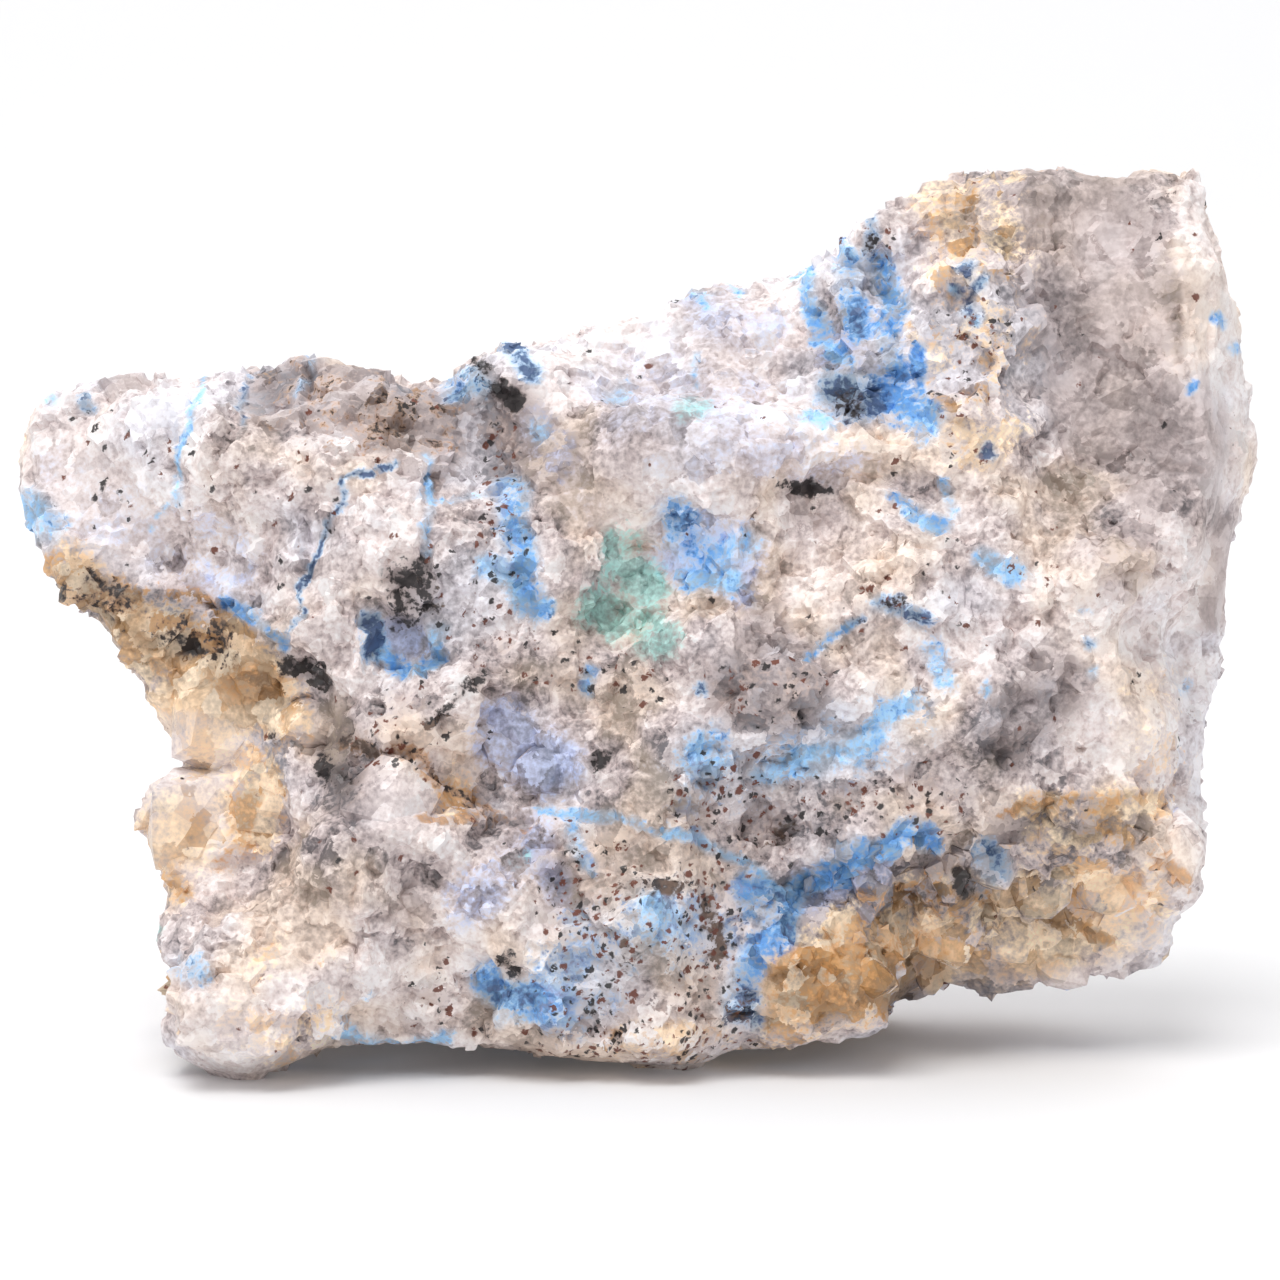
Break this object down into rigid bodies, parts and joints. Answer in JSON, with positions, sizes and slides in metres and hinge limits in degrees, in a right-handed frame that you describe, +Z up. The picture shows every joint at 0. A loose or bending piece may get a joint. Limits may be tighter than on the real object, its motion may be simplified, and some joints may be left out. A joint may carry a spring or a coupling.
{
  "type": "raw linarite specimen",
  "caption": "Rough block of pale quartz rock veined with blue linarite, with ledges, crystal knobs and honey-coloured quartz, standing on small flats of its broken base.",
  "frame": {"origin": "on the surface that the rock stands on, under the middle of its bounding box", "axes": "+X to the right along the broad face, +Y into the rock away from the broad face, +Z up"},
  "size_m": [0.0872, 0.0378, 0.0617],
  "materials": {
    "rock": "rough, broken"
  },
  "bodies": {
    "root": {"linarite_rock": "rock"}
  },
  "joints": []
}
